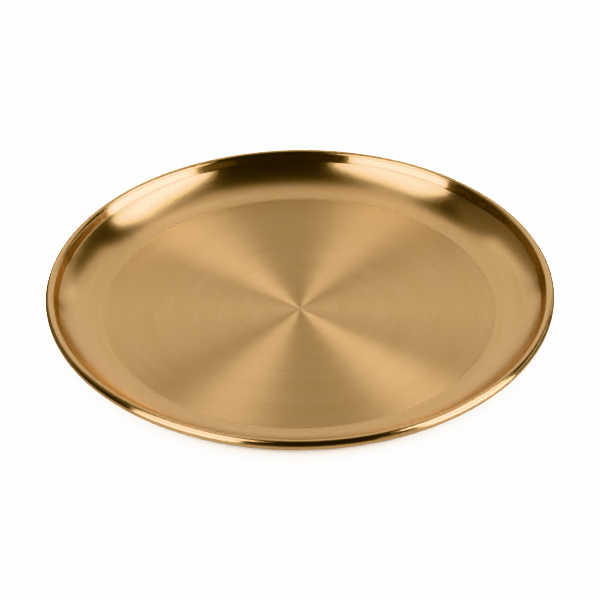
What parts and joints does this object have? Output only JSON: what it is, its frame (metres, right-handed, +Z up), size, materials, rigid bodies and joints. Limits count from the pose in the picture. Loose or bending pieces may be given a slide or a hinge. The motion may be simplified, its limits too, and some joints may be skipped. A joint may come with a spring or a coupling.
{
  "type": "paten plate",
  "caption": "Shallow round metal plate with a flat floor, a curved side and a rolled edge, for holding communion bread.",
  "frame": {"origin": "centre of the flat underside, on the plate's axis, at table height", "axes": "+Z up along the axis the plate is turned about; X and Y lie in the table plane and are interchangeable"},
  "size_m": [0.2, 0.2, 0.011],
  "materials": {
    "gold_stainless": "stainless steel with a gold-coloured coating, brushed in circles and satin bright"
  },
  "bodies": {
    "root": {"plate": "gold_stainless"}
  },
  "joints": []
}
